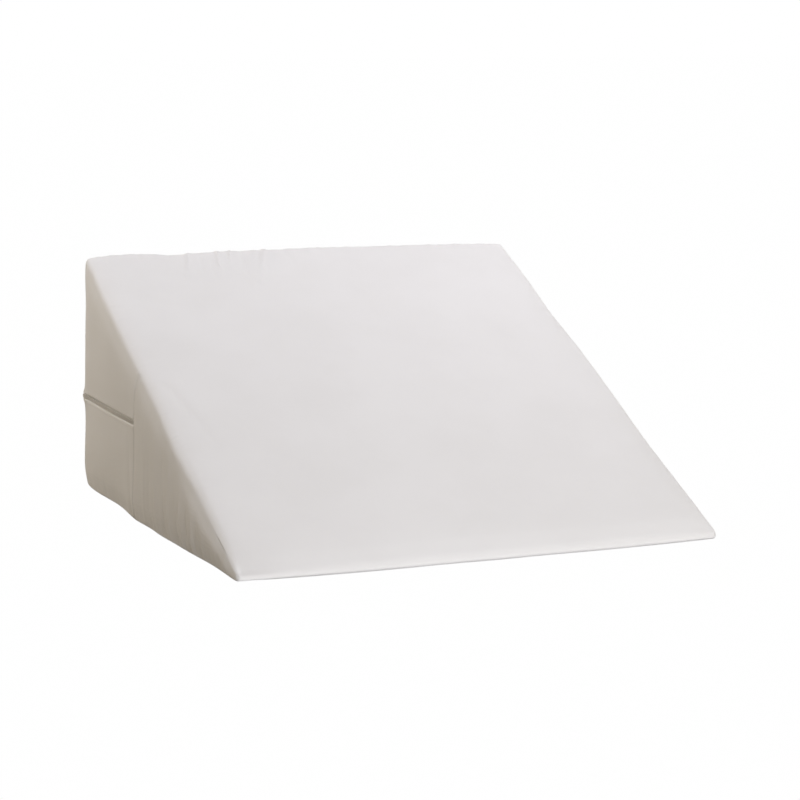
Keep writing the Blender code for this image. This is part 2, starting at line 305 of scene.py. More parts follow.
class NodeBench:
    """A material's node tree with short calls for adding and wiring nodes."""

    def __init__(self, name: str) -> None:
        """Start a material with one Principled shader.

        Args:
            name: The material's name.
        """
        self.material = bpy.data.materials.new(name)
        self.material.use_nodes = True
        self.nodes = self.material.node_tree.nodes
        self.links = self.material.node_tree.links
        self.shader = self.nodes["Principled BSDF"]

    def set(self, **values: object) -> None:
        """Set the shader's own sockets, with underscores for the spaces in their names."""
        for name, value in values.items():
            self.shader.inputs[name.replace("_", " ")].default_value = value

    def maths(self, operation: str, *parts: object) -> Socket:
        """A Math node.

        Args:
            operation: What it works out.
            parts: The sockets or numbers that it takes, in order.

        Returns:
            Its result.
        """
        node = self.nodes.new("ShaderNodeMath")
        node.operation = operation
        for part, socket in zip(parts, node.inputs):
            if isinstance(part, Socket):
                self.links.new(part, socket)
            else:
                socket.default_value = part
        return node.outputs[0]

    def wave(self, value: Socket, rate: float) -> Socket:
        """The sine of a value times a rate."""
        return self.maths("SINE", self.maths("MULTIPLY", value, rate))

    def attribute(self, name: str) -> Socket:
        """A number that is stored on the piece's vertices.

        Args:
            name: The attribute's name.

        Returns:
            The number's socket.
        """
        node = self.nodes.new("ShaderNodeAttribute")
        node.attribute_name = name
        return node.outputs["Fac"]

    def uv(self) -> Socket:
        """The piece's flat cloth coordinates, in metres.

        Returns:
            The coordinates' socket.
        """
        node = self.nodes.new("ShaderNodeUVMap")
        node.uv_map = UV_NAME
        return node.outputs["UV"]

    def object_place(self) -> Socket:
        """The place on the object, in metres."""
        return self.nodes.new("ShaderNodeTexCoord").outputs["Object"]

    def split(self, vector: Socket) -> tuple[Socket, ...]:
        """Take a vector apart.

        Args:
            vector: The vector.

        Returns:
            Its three parts.
        """
        node = self.nodes.new("ShaderNodeSeparateXYZ")
        self.links.new(vector, node.inputs[0])
        return tuple(node.outputs)

    def stretched(self, vector: Socket, scale: Triple) -> Socket:
        """Scale each part of a vector.

        Args:
            vector: The vector.
            scale: A factor for each part.

        Returns:
            The scaled vector.
        """
        node = self.nodes.new("ShaderNodeMapping")
        node.inputs["Scale"].default_value = scale
        self.links.new(vector, node.inputs["Vector"])
        return node.outputs[0]

    def noise(self, vector: Socket, scale: float, detail: float = 2.0, rough: float = 0.5) -> Socket:
        """A soft noise between nought and one.

        Args:
            vector: Where it is taken.
            scale: Its fineness.
            detail: How many finer layers it has.
            rough: How strong they are.

        Returns:
            The noise.
        """
        node = self.nodes.new("ShaderNodeTexNoise")
        for name, number in (("Scale", scale), ("Detail", detail), ("Roughness", rough)):
            node.inputs[name].default_value = number
        self.links.new(vector, node.inputs["Vector"])
        return node.outputs["Fac"]

    def ramp(self, value: Socket, low: float, high: float, start: float, end: float) -> Socket:
        """Carry a value smoothly from one range to another, clamped at both ends.

        Args:
            value: The value.
            low: Where the ramp starts.
            high: Where it ends.
            start: Result at its start.
            end: Result at its end.

        Returns:
            The carried value.
        """
        node = self.nodes.new("ShaderNodeMapRange")
        node.interpolation_type = "SMOOTHSTEP"
        rows = {"From Min": low, "From Max": high, "To Min": start, "To Max": end}
        for name, number in rows.items():
            node.inputs[name].default_value = number
        self.links.new(value, node.inputs["Value"])
        return node.outputs["Result"]

    def paint(self, share: Socket, first: RGB, second: RGB, target: str = "Base Color") -> None:
        """Colour the shader between two colours.

        Args:
            share: Share of the second colour.
            first: The first colour.
            second: The second colour.
            target: The shader's socket.
        """
        node = self.nodes.new("ShaderNodeMix")
        node.data_type = "RGBA"
        self.links.new(share, node.inputs[0])
        for socket, colour in ((node.inputs[6], first), (node.inputs[7], second)):
            socket.default_value = (*colour, 1.0)
        self.links.new(node.outputs[2], self.shader.inputs[target])

    def bump(self, height: Socket, distance: float, strength: float = 1.0) -> None:
        """Add a bump to the shader, on top of those it has.

        Args:
            height: The bump's height, between nought and one.
            distance: Size of that height in metres.
            strength: How strongly it shows.
        """
        node = self.nodes.new("ShaderNodeBump")
        node.inputs["Strength"].default_value = strength
        node.inputs["Distance"].default_value = distance
        self.links.new(height, node.inputs["Height"])
        target = self.shader.inputs["Normal"]
        if target.is_linked:
            self.links.new(target.links[0].from_socket, node.inputs["Normal"])
        self.links.new(node.outputs[0], target)


@dataclass(frozen=True)
class WovenCotton:
    """White plain-weave cotton with fine slubs and a soft nap.

    Args:
        light: Colour of the raised threads.
        shade: The darker colour, which the clouds and the painted shade along the seams go towards.
        pitch: Distance between threads.
        relief: Height of the weave.
        crossing: How much the crossings stand out from the ribs.
        slub_grain: Fineness along and across a slub.
        fold_relief: Height of the faint creases that are too fine for the mesh.
        seam_reach: Distances from a seam over which its painted shade, its stitches and its dip fade.
        seam_depth: Depth of the dip.
        stitch_rate: Rate of the stitch marks along a seam, in radians a metre.
        stitch_relief: Height of those marks.
        tones_and_seam_shade: How much clouds, slubs and the painted shade along the seams change the colour.
    """

    light: RGB = (0.81, 0.81, 0.815)
    shade: RGB = (0.72, 0.715, 0.71)
    pitch: float = 0.0006
    relief: float = 0.00008
    crossing: float = 0.35
    slub_grain: Pair = (60.0, 1400.0)
    fold_relief: float = 0.0008
    seam_reach: Triple = (0.0016, 0.0030, 0.0012)
    seam_depth: float = 0.0007
    stitch_rate: float = 2200.0
    stitch_relief: float = 0.00025
    tones_and_seam_shade: Triple = (0.22, -0.12, 0.55)

    def material(self) -> Material:
        """Build the cloth's nodes.

        Returns:
            The finished material.
        """
        bench = NodeBench("woven_cotton")
        bench.set(Roughness=0.86, Sheen_Weight=0.22, Sheen_Roughness=0.45, Specular_IOR_Level=0.28)
        across, along, _ = bench.split(bench.uv())
        warp, weft = (bench.wave(part, math.pi / self.pitch) for part in (across, along))
        ribs = bench.maths("ADD", bench.maths("ABSOLUTE", warp), bench.maths("ABSOLUTE", weft))
        weave = bench.maths("MULTIPLY_ADD", bench.maths("MULTIPLY", warp, weft), self.crossing, ribs)
        long_way, short_way = self.slub_grain
        slub = bench.noise(bench.stretched(bench.uv(), (long_way, short_way, 1.0)), 1.0, 1.0)
        slub_up = bench.noise(bench.stretched(bench.uv(), (short_way, long_way, 1.0)), 1.0, 1.0)
        threads = bench.ramp(bench.maths("MAXIMUM", slub, slub_up), 0.62, 0.80, 0.0, 1.0)
        cloud = bench.noise(bench.object_place(), 9.0, 3.0)
        gap = bench.attribute("seam_gap")
        seam_shade_reach, stitch_reach, dip_reach = self.seam_reach
        cloudy, threaded, seam_shade = self.tones_and_seam_shade
        tint = bench.maths("MULTIPLY_ADD", threads, threaded, bench.ramp(cloud, 0.3, 0.7, 0.0, cloudy))
        # Painted shade: the cloth darkens towards its shade colour along each seam
        tint = bench.maths("MULTIPLY_ADD", bench.ramp(gap, 0.0, seam_shade_reach, 1.0, 0.0), seam_shade, tint)
        bench.paint(tint, self.light, self.shade)
        bench.bump(bench.noise(bench.object_place(), 34.0, 2.0, 0.45), self.fold_relief, 0.55)
        stitch = bench.wave(bench.attribute("seam_run"), self.stitch_rate)
        stitched = bench.maths("MULTIPLY", bench.ramp(gap, 0.0, stitch_reach, 1.0, 0.0), stitch)
        bench.bump(stitched, self.stitch_relief, 0.8)
        bench.bump(bench.ramp(gap, 0.0, dip_reach, 0.0, 1.0), self.seam_depth, 0.9)
        bench.bump(bench.maths("ADD", weave, threads), self.relief, 0.6)
        return bench.material


@dataclass(frozen=True)
class WovenTape:
    """Herringbone zip tape.

    Args:
        light: Colour of the raised threads.
        shade: Colour between them, a painted shade in the twill's hollows.
        twill_rate: Rate of each twill's ribs, in radians a metre.
        relief: Height of the twill.
    """

    light: RGB = (0.82, 0.82, 0.80)
    shade: RGB = (0.63, 0.62, 0.60)
    twill_rate: float = 9000.0
    relief: float = 0.00006

    def material(self) -> Material:
        """Build the tape's nodes.

        Returns:
            The finished material.
        """
        bench = NodeBench("woven_tape")
        bench.set(Roughness=0.8, Sheen_Weight=0.1, Specular_IOR_Level=0.3)
        x, y, z = bench.split(bench.object_place())
        run = bench.maths("ADD", x, y)
        twill, back_twill = (
            bench.wave(bench.maths(way, run, z), self.twill_rate) for way in ("ADD", "SUBTRACT")
        )
        height = bench.maths("ADD", twill, back_twill)
        # Painted shade: the twill's hollows take the darker colour, its ribs the lighter
        bench.paint(bench.ramp(height, -1.5, 1.5, 1.0, 0.0), self.light, self.shade)
        bench.bump(height, self.relief)
        return bench.material


@dataclass(frozen=True)
class NylonCoil:
    """Dyed nylon, a little glossy, with fine drawn lines.

    Args:
        light: Colour of the worn tops.
        shade: Colour lower down.
        grain: Fineness of the drawn lines.
        relief: Height of the lines.
    """

    light: RGB = (0.84, 0.84, 0.82)
    shade: RGB = (0.69, 0.68, 0.66)
    grain: Triple = (700.0, 700.0, 2600.0)
    relief: float = 0.00004

    def material(self) -> Material:
        """Build the coil's nodes.

        Returns:
            The finished material.
        """
        bench = NodeBench("nylon_coil")
        bench.set(Roughness=0.42, Specular_IOR_Level=0.45, Coat_Weight=0.05)
        lines = bench.noise(bench.stretched(bench.object_place(), self.grain), 1.0, 2.0)
        bench.paint(bench.ramp(lines, 0.3, 0.7, 0.0, 1.0), self.light, self.shade)
        bench.bump(lines, self.relief)
        return bench.material


@dataclass(frozen=True)
class StitchThread:
    """Spun polyester sewing thread in the cloth's tone.

    Args:
        light: Colour of the raised ply.
        shade: Colour between the plies, a painted shade in their hollows.
        ply_pitch: Length of one turn of the twist.
        relief: Height of the plies.
    """

    light: RGB = (0.78, 0.77, 0.76)
    shade: RGB = (0.60, 0.59, 0.57)
    ply_pitch: float = 0.0009
    relief: float = 0.00005

    def material(self) -> Material:
        """Build the thread's nodes.

        Returns:
            The finished material.
        """
        bench = NodeBench("stitch_thread")
        bench.set(Roughness=0.6, Sheen_Weight=0.3, Specular_IOR_Level=0.35)
        x, y, z = bench.split(bench.object_place())
        run = bench.maths("ADD", bench.maths("ADD", x, y), z)
        ply = bench.wave(run, math.tau / self.ply_pitch)
        # Painted shade: the hollows between the plies take the darker colour
        bench.paint(bench.ramp(ply, -1.0, 1.0, 1.0, 0.0), self.light, self.shade)
        bench.bump(ply, self.relief)
        return bench.material


@dataclass(frozen=True)
class EnamelledMetal:
    """Die-cast zinc under a thin pale enamel, rubbed at the high spots.

    Args:
        enamel: Colour of the enamel.
        rubbed: Colour where it has thinned.
        spot_scale: Fineness of the rubbed spots.
        pit_scale: Fineness of the casting's pits.
        relief: Depth of the pits.
    """

    enamel: RGB = (0.70, 0.69, 0.66)
    rubbed: RGB = (0.50, 0.49, 0.47)
    spot_scale: float = 900.0
    pit_scale: float = 2600.0
    relief: float = 0.00003

    def material(self) -> Material:
        """Build the enamel's nodes.

        Returns:
            The finished material.
        """
        bench = NodeBench("enamelled_metal")
        bench.set(Metallic=0.35, Coat_Weight=0.25, Coat_Roughness=0.2)
        spots = bench.noise(bench.object_place(), self.spot_scale, 3.0)
        bench.paint(bench.ramp(spots, 0.52, 0.68, 0.0, 1.0), self.enamel, self.rubbed)
        bench.links.new(bench.ramp(spots, 0.3, 0.8, 0.28, 0.5), bench.shader.inputs["Roughness"])
        bench.bump(bench.noise(bench.object_place(), self.pit_scale, 2.0), self.relief)
        return bench.material


@dataclass(frozen=True)
class PaleFloor:
    """Matt white studio floor with a faint grain.

    Args:
        light: The floor's own brightness.
        white: Its lighter colour.
        grey: Its darker colour.
    """

    light: float = 1.0
    white: RGB = (1.0, 1.0, 1.0)
    grey: RGB = (0.995, 0.995, 0.995)

    def material(self) -> Material:
        """Build the floor's nodes.

        Returns:
            The finished material.
        """
        bench = NodeBench("pale_floor")
        bench.set(Roughness=1.0, Specular_IOR_Level=0.0, Emission_Strength=self.light)
        bench.set(Base_Color=(0.0, 0.0, 0.0, 1.0))
        grain = bench.noise(bench.object_place(), 40.0, 2.0)
        bench.paint(grain, self.white, self.grey, "Emission Color")
        return bench.material


@dataclass(frozen=True)
class Crease:
    """A soft ridge or trough in a panel, from one flat place on it to another.

    Args:
        panel: The panel that it lies on.
        start: Flat place of one end, in millimetres.
        end: Flat place of the other end, in millimetres.
        reach: Half width, in millimetres.
        rise: Height, in millimetres, below nought for a trough.
    """

    panel: Panel
    start: Pair
    end: Pair
    reach: float
    rise: float


# Flat places: across the width and up the panel on the slope and the back,
# along the depth and up on the sides
CREASES: tuple[Crease, ...] = (
    Crease(Panel.SLOPE, (-276, 362), (-252, 240), 7.0, -0.7),
    Crease(Panel.SLOPE, (-262, 362), (-238, 240), 8.0, 0.6),
    Crease(Panel.SLOPE, (-120, 420), (-60, 330), 30.0, 0.6),
    Crease(Panel.SLOPE, (60, 500), (150, 430), 34.0, -0.5),
    Crease(Panel.LEFT, (72, 12), (84, 112), 5.0, -0.9),
    Crease(Panel.LEFT, (12, 8), (22, 150), 6.0, 0.9),
    Crease(Panel.LEFT, (-12, 8), (-2, 140), 5.0, -0.8),
    Crease(Panel.LEFT, (-40, 8), (-28, 120), 6.0, 1.4),
    Crease(Panel.LEFT, (-66, 8), (-54, 112), 5.0, -1.4),
    Crease(Panel.LEFT, (-92, 7), (-80, 98), 5.5, 1.7),
    Crease(Panel.LEFT, (-112, 7), (-104, 86), 4.5, -1.4),
    Crease(Panel.LEFT, (-132, 6), (-124, 78), 4.5, 1.6),
    Crease(Panel.LEFT, (-152, 6), (-142, 68), 4.0, -1.4),
    Crease(Panel.LEFT, (-170, 5), (-162, 58), 4.0, 1.5),
    Crease(Panel.LEFT, (-188, 5), (-180, 50), 3.5, -1.2),
    Crease(Panel.LEFT, (-206, 4), (-198, 42), 3.5, 0.9),
    Crease(Panel.LEFT, (-226, 4), (-219, 36), 3.0, -0.7),
    Crease(Panel.LEFT, (-244, 4), (-238, 28), 3.0, 0.6),
    Crease(Panel.RIGHT, (-60, 8), (-44, 120), 6.0, 0.9),
    Crease(Panel.RIGHT, (-118, 7), (-108, 84), 5.0, -0.9),
    Crease(Panel.RIGHT, (-160, 6), (-150, 62), 4.0, 0.9),
    Crease(Panel.RIGHT, (30, 8), (44, 150), 7.0, -0.8),
    Crease(Panel.RIGHT, (190, 10), (182, 110), 7.0, 0.7),
)


@dataclass(frozen=True)
class Gathers:
    """Small puckers along a seam where the cloth is eased in.

    Args:
        panel: The panel that they lie on.
        start: Flat place where they begin along the seam, in millimetres.
        end: Flat place where they end along the seam, in millimetres.
        away: Way from the seam into the panel, in flat coordinates.
        pitch: Mean distance between them, in millimetres.
        length: Mean length into the panel, in millimetres.
        rise: Mean height, in millimetres.
        seed: Start of the random draws.
        first: Least and greatest distance to the first, as shares of the pitch.
        turns: What the heights are multiplied by, drawn from, below nought for a dip.
        lean: Most that one leans, as a share of its length.
        lengths: Least and greatest length, as shares of the mean.
        reaches: The same for its half width, as shares of the pitch.
        rises: The same for its height, as shares of the mean.
        gaps: The same for the distance to the next, as shares of the pitch.
    """

    panel: Panel
    start: Pair
    end: Pair
    away: Pair
    pitch: float
    length: float
    rise: float
    seed: int
    first: Pair = (0.3, 1.0)
    turns: Triple = (1.0, 1.0, -0.8)
    lean: float = 0.12
    lengths: Pair = (0.5, 1.4)
    reaches: Pair = (0.16, 0.30)
    rises: Pair = (0.4, 1.3)
    gaps: Pair = (0.55, 1.5)

    def creases(self) -> list[Crease]:
        """Work the puckers out.

        Returns:
            One crease for each, in order along the seam.
        """
        draw = random.Random(self.seed)
        start, end = Vector(self.start), Vector(self.end)
        run, way = end - start, Vector(self.away).normalized()
        made: list[Crease] = []
        at = draw.uniform(*self.first) * self.pitch
        while at < run.length:
            foot = start + run.normalized() * at
            lean = run.normalized() * draw.uniform(-self.lean, self.lean)
            tip = foot + (way + lean) * self.length * draw.uniform(*self.lengths)
            reach = self.pitch * draw.uniform(*self.reaches)
            rise = self.rise * draw.uniform(*self.rises) * draw.choice(self.turns)
            made.append(Crease(self.panel, tuple(foot), tuple(tip), reach, rise))
            at += self.pitch * draw.uniform(*self.gaps)
        return made


TOP_SEAM = SIZES.slope_length() / MILLIMETRE
BY_TOP = TOP_SEAM - 6.0
GATHERS: tuple[Gathers, ...] = (
    Gathers(Panel.SLOPE, (-165, BY_TOP), (-40, BY_TOP), (-0.30, -1), 14.0, 78.0, 1.70, 3),
    Gathers(Panel.SLOPE, (-290, BY_TOP), (-165, BY_TOP), (-0.2, -1), 17.0, 18.0, 0.60, 4),
    Gathers(Panel.SLOPE, (-40, BY_TOP), (290, BY_TOP), (0, -1), 18.0, 20.0, 0.55, 5),
    Gathers(Panel.SLOPE, (-296, 40), (-296, 640), (1, 0), 15.0, 12.0, 0.35, 6),
    Gathers(Panel.SLOPE, (296, 640), (296, 40), (-1, 0), 16.0, 12.0, 0.35, 7),
    Gathers(Panel.BACK, (-280, 299), (280, 299), (0, -1), 15.0, 24.0, 0.90, 8),
    Gathers(Panel.BACK, (270, 9), (-270, 9), (0, 1), 16.0, 20.0, 0.70, 9),
    Gathers(Panel.LEFT, (-280, 8), (300, 8), (0, 1), 17.0, 18.0, 0.60, 10),
    Gathers(Panel.RIGHT, (-280, 8), (300, 8), (0, 1), 17.0, 18.0, 0.60, 11),
)


@dataclass(frozen=True)
class FoamPush:
    """How the foam's push on the cloth is simulated.

    Args:
        pressure: Pressure from inside.
        steps: Frames that it runs.
        quality: Steps in each frame.
        mass: Mass of the cloth.
        tension: Stiffness against stretching.
        compression: Stiffness against squeezing.
        shear: Stiffness against shearing.
        bending: Stiffness against bending.
        seam_hold: Distances from a seam between which the cloth comes free.
        base_hold: Heights between which it comes free.
        zip_hold: Half height of the strip by the zip that is held.
        zip_end: How far that strip goes past the upright seam.
        limit: Most that the cloth may move.
    """

    pressure: float = 4.0
    steps: int = 20
    quality: int = 6
    mass: float = 0.15
    tension: float = 25.0
    compression: float = 12.0
    shear: float = 8.0
    bending: float = 0.6
    seam_hold: Pair = (0.004, 0.030)
    base_hold: Pair = (0.002, 0.020)
    zip_hold: float = 0.014
    zip_end: float = 0.01
    limit: float = 0.0016


@dataclass
class Cover:
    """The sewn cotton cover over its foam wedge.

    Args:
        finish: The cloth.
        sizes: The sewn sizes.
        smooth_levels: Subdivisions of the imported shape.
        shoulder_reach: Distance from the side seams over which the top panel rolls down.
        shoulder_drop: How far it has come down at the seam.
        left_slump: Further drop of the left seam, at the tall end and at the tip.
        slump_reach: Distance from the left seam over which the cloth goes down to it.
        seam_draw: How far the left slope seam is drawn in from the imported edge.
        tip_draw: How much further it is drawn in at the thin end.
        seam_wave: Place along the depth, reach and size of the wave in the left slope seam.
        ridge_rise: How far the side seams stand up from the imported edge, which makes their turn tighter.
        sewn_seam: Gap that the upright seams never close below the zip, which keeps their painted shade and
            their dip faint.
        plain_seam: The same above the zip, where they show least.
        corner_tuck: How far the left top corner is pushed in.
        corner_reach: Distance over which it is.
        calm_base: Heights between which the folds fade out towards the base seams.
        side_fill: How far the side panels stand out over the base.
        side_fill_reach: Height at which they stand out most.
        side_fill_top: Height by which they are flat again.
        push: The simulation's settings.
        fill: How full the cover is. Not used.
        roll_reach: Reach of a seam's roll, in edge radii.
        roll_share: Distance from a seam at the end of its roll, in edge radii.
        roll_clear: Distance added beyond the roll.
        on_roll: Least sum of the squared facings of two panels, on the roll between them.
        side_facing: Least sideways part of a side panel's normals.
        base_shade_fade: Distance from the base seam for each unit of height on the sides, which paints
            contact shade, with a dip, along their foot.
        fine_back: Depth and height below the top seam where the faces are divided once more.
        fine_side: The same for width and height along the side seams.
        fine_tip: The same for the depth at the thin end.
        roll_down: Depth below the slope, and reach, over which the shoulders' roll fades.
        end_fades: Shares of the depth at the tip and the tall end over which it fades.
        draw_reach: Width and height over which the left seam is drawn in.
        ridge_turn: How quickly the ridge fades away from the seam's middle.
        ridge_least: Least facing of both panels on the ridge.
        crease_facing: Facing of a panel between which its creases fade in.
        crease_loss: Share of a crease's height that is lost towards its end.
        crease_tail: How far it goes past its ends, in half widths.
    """

    finish: WovenCotton = field(default_factory=WovenCotton)
    sizes: WedgeSizes = SIZES
    smooth_levels: int = 2
    shoulder_reach: float = 0.016
    shoulder_drop: float = 0.0022
    left_slump: Pair = (0.0004, 0.0034)
    slump_reach: float = 0.014
    seam_draw: float = 0.0030
    tip_draw: float = 0.0030
    seam_wave: Triple = (-0.090, 0.050, -0.0018)
    ridge_rise: float = 0.0002
    sewn_seam: float = 0.0011
    plain_seam: float = 0.0012
    corner_tuck: Triple = (0.0016, -0.0006, -0.0004)
    corner_reach: float = 0.0085
    calm_base: Pair = (0.0015, 0.0100)
    side_fill: float = 0.0026
    side_fill_reach: float = 0.030
    side_fill_top: float = 0.100
    push: FoamPush = FoamPush()
    fill: float = 0.95
    roll_reach: float = 1.6
    roll_share: float = 0.8
    roll_clear: float = 0.002
    on_roll: float = 0.4
    side_facing: float = 0.8
    base_shade_fade: float = 0.35
    fine_back: Pair = (0.045, 0.030)
    fine_side: Pair = (0.022, 0.006)
    fine_tip: float = 0.020
    roll_down: Pair = (0.002, 0.014)
    end_fades: Pair = (0.04, 0.05)
    draw_reach: Pair = (0.012, 0.020)
    ridge_turn: float = 1.2
    ridge_least: float = 0.2
    crease_facing: Pair = (0.35, 0.75)
    crease_loss: float = 0.75
    crease_tail: float = 2.0

    def build(self) -> Piece:
        """Shape the cover and dress it.

        Returns:
            The finished cover.
        """
        piece = copy_of_node(COVER_NODE, "cotton_cover")
        self.rebuild_quads(piece)
        self.mark_seams(piece)
        self.settle_cloth(piece)
        self.smooth(piece)
        self.refine(piece)
        self.ease_shoulders(piece)
        self.crease(piece)
        self.map_cloth(piece)
        piece.data.materials.append(self.finish.material())
        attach(piece, ROOT)
        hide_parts(COVER_NODE)
        return piece

    def rebuild_quads(self, piece: Piece) -> None:
        """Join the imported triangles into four-sided faces.

        Args:
            piece: The cover.
        """
        make_active(piece)
        bpy.ops.object.mode_set(mode="EDIT")
        bpy.ops.mesh.select_all(action="SELECT")
        bpy.ops.mesh.tris_convert_to_quads(face_threshold=QUAD_ANGLE, shape_threshold=QUAD_ANGLE)
        bpy.ops.object.mode_set(mode="OBJECT")

    def seam_lines(self) -> list[tuple[Vector, Vector, Panel, Panel]]:
        """Where the seams run.

        Returns:
            The two ends of each seam and the two panels that it joins.
        """
        x, y, top, tip = self.sizes.width / 2, self.sizes.depth / 2, self.sizes.height, self.sizes.tip
        lines = [
            (Vector((-x, y, top)), Vector((x, y, top)), Panel.SLOPE, Panel.BACK),
            (Vector((-x, y, 0)), Vector((x, y, 0)), Panel.BASE, Panel.BACK),
            (Vector((-x, -y, 0)), Vector((x, -y, 0)), Panel.BASE, Panel.FRONT),
        ]
        for side, panel in ((-x, Panel.LEFT), (x, Panel.RIGHT)):
            lines.append((Vector((side, -y, tip)), Vector((side, y, top)), Panel.SLOPE, panel))
            lines.append((Vector((side, -y, 0)), Vector((side, y, 0)), Panel.BASE, panel))
        return lines

    def mark_seams(self, piece: Piece) -> None:
        """Store how far each vertex is from its nearest seam, and its place along it. The distance sets the
        cloth's painted shade, its dip and its stitches along the seams.

        Args:
            piece: The cover.
        """
        mesh = piece.data
        places, normals = places_of(mesh), normals_of(mesh)
        gap, run = np.full(len(places), 1.0), np.zeros(len(places))
        for start, end, first, second in self.seam_lines():
            way = np.array((end - start).normalized())
            offset = places - np.array(start)
            along = offset @ way
            away = np.linalg.norm(offset - along[:, None] * way, axis=1)
            one, other = normals @ first.facing(), normals @ second.facing()
            rolled = self.sizes.edge_radius * np.abs(one - other) * self.roll_share
            on_roll = np.maximum(one, 0.0) ** 2 + np.maximum(other, 0.0) ** 2 > self.on_roll
            close = (away < self.roll_reach * self.sizes.edge_radius) & on_roll
            near = np.where(close, rolled, away + self.roll_clear)
            closer = near < gap
            gap, run = np.where(closer, near, gap), np.where(closer, along, run)
        on_side = np.abs(normals[:, 0]) > self.side_facing
        faint = np.where(places[:, 2] > self.sizes.zip_height, self.plain_seam, self.sewn_seam)
        upright = np.abs(places[:, 1] - self.sizes.seam_y()) + faint
        closer = on_side & (upright < gap)
        gap, run = np.where(closer, upright, gap), np.where(closer, places[:, 2], run)
        # Painted contact shade: low on the side panels the seam distance shrinks, so the cloth darkens
        # towards the floor
        gap = np.where(on_side, np.minimum(gap, self.base_shade_fade * places[:, 2]), gap)
        for name, values in (("seam_gap", gap), ("seam_run", run)):
            layer = mesh.attributes.new(name, "FLOAT", "POINT")
            layer.data.foreach_set("value", values.astype(np.float32))

    def free_share(self, mesh: Mesh) -> np.ndarray:
        """How free the cloth is at each vertex, away from the seams, the zip and the base.

        Args:
            mesh: The cover's mesh, with its seams marked.

        Returns:
            One share for each vertex, nought where it is held.
        """
        places, push = places_of(mesh), self.push
        gap = np.array([row.value for row in mesh.attributes["seam_gap"].data])
        by_zip = bell(places[:, 2] - self.sizes.zip_height, push.zip_hold)
        by_zip = by_zip * (places[:, 1] > self.sizes.seam_y() - push.zip_end)
        lifted = smooth_step(places[:, 2], *push.base_hold)
        return smooth_step(gap, *push.seam_hold) * (1.0 - by_zip) * lifted

    def settle_cloth(self, piece: Piece) -> None:
        """Let the foam's push swell the cloth between its seams, which stay where they are.

        Args:
            piece: The cover.
        """
        mesh, push = piece.data, self.push
        before, free = places_of(mesh), self.free_share(mesh)
        held = piece.vertex_groups.new(name="held")
        for index, share in enumerate(free):
            held.add([index], float(1.0 - share), "REPLACE")
        settings = piece.modifiers.new("cloth", "CLOTH").settings
        settings.vertex_group_mass = held.name
        settings.quality, settings.mass = push.quality, push.mass
        settings.tension_stiffness, settings.compression_stiffness = push.tension, push.compression
        settings.shear_stiffness, settings.bending_stiffness = push.shear, push.bending
        settings.use_pressure, settings.uniform_pressure_force = True, push.pressure
        settings.effector_weights.gravity = 0.0
        for step in range(1, push.steps + 1):
            bpy.context.scene.frame_set(step)
        apply_modifiers(piece)
        bpy.context.scene.frame_set(1)
        moved = places_of(mesh) - before
        length = np.linalg.norm(moved, axis=1)
        log.info("cloth moved: mean %.4f, most %.4f", float(length.mean()), float(length.max()))
        limit = push.limit * np.tanh(length / push.limit) / np.maximum(length, TINY)
        move_to(mesh, before + moved * (limit * free)[:, None])
        piece.vertex_groups.clear()

    def smooth(self, piece: Piece) -> None:
        """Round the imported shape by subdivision.

        Args:
            piece: The cover.
        """
        rounder = piece.modifiers.new("roundness", "SUBSURF")
        rounder.levels = self.smooth_levels
        rounder.render_levels = self.smooth_levels
        apply_modifiers(piece)

    def refine(self, piece: Piece) -> None:
        """Divide the faces by the seams once more, where the small puckers are.

        Args:
            piece: The cover.
        """
        mesh = piece.data
        places = places_of(mesh)
        x, y = self.sizes.width / 2, self.sizes.depth / 2
        top = self.sizes.top_height(places[:, 1])
        near_back = (places[:, 1] > y - self.fine_back[0]) & (places[:, 2] > top - self.fine_back[1])
        near_side = (np.abs(places[:, 0]) > x - self.fine_side[0]) & (places[:, 2] > top - self.fine_side[1])
        wanted = near_back | near_side | (places[:, 1] < -y + self.fine_tip)
        make_active(piece)
        chosen = np.zeros(len(mesh.polygons), bool)
        for index, face in enumerate(mesh.polygons):
            chosen[index] = all(wanted[i] for i in face.vertices)
        mesh.vertices.foreach_set("select", np.zeros(len(mesh.vertices), bool))
        mesh.edges.foreach_set("select", np.zeros(len(mesh.edges), bool))
        mesh.polygons.foreach_set("select", chosen)
        bpy.ops.object.mode_set(mode="EDIT")
        bpy.ops.mesh.select_mode(type="FACE")
        bpy.ops.mesh.subdivide(number_cuts=1)
        bpy.ops.object.mode_set(mode="OBJECT")

    def ease_shoulders(self, piece: Piece) -> None:
        """Roll the top panel down to its side seams, draw the left seam in and fill the sides.

        Args:
            piece: The cover.
        """
        mesh = piece.data
        places = places_of(mesh)
        from_top = self.sizes.top_height(places[:, 1]) - places[:, 2]
        from_tip = (places[:, 1] + self.sizes.depth / 2) / self.sizes.depth
        before_top = smooth_step(1.0 - from_tip, 0.0, self.end_fades[1])
        ends = smooth_step(from_tip, 0.0, self.end_fades[0]) * before_top
        places[:, 2] -= self.roll_depth(places, from_top, from_tip) * ends
        places[:, 0] += self.left_draw(places, from_top, from_tip) * before_top
        corner = np.array((-self.sizes.width / 2, self.sizes.depth / 2, self.sizes.height))
        by_corner = bell(np.linalg.norm(places - corner, axis=1), self.corner_reach)
        places += np.array(self.corner_tuck) * by_corner[:, None]
        places[:, 0] += np.sign(places[:, 0]) * self.side_swell(places, from_top)
        sideways = np.sign(places[:, :1]) * Panel.RIGHT.facing()
        way = (sideways + Panel.SLOPE.facing()) * math.sqrt(0.5)
        places += way * (self.ridge_rise * self.ridge_share(normals_of(mesh)) * ends)[:, None]
        move_to(mesh, places)

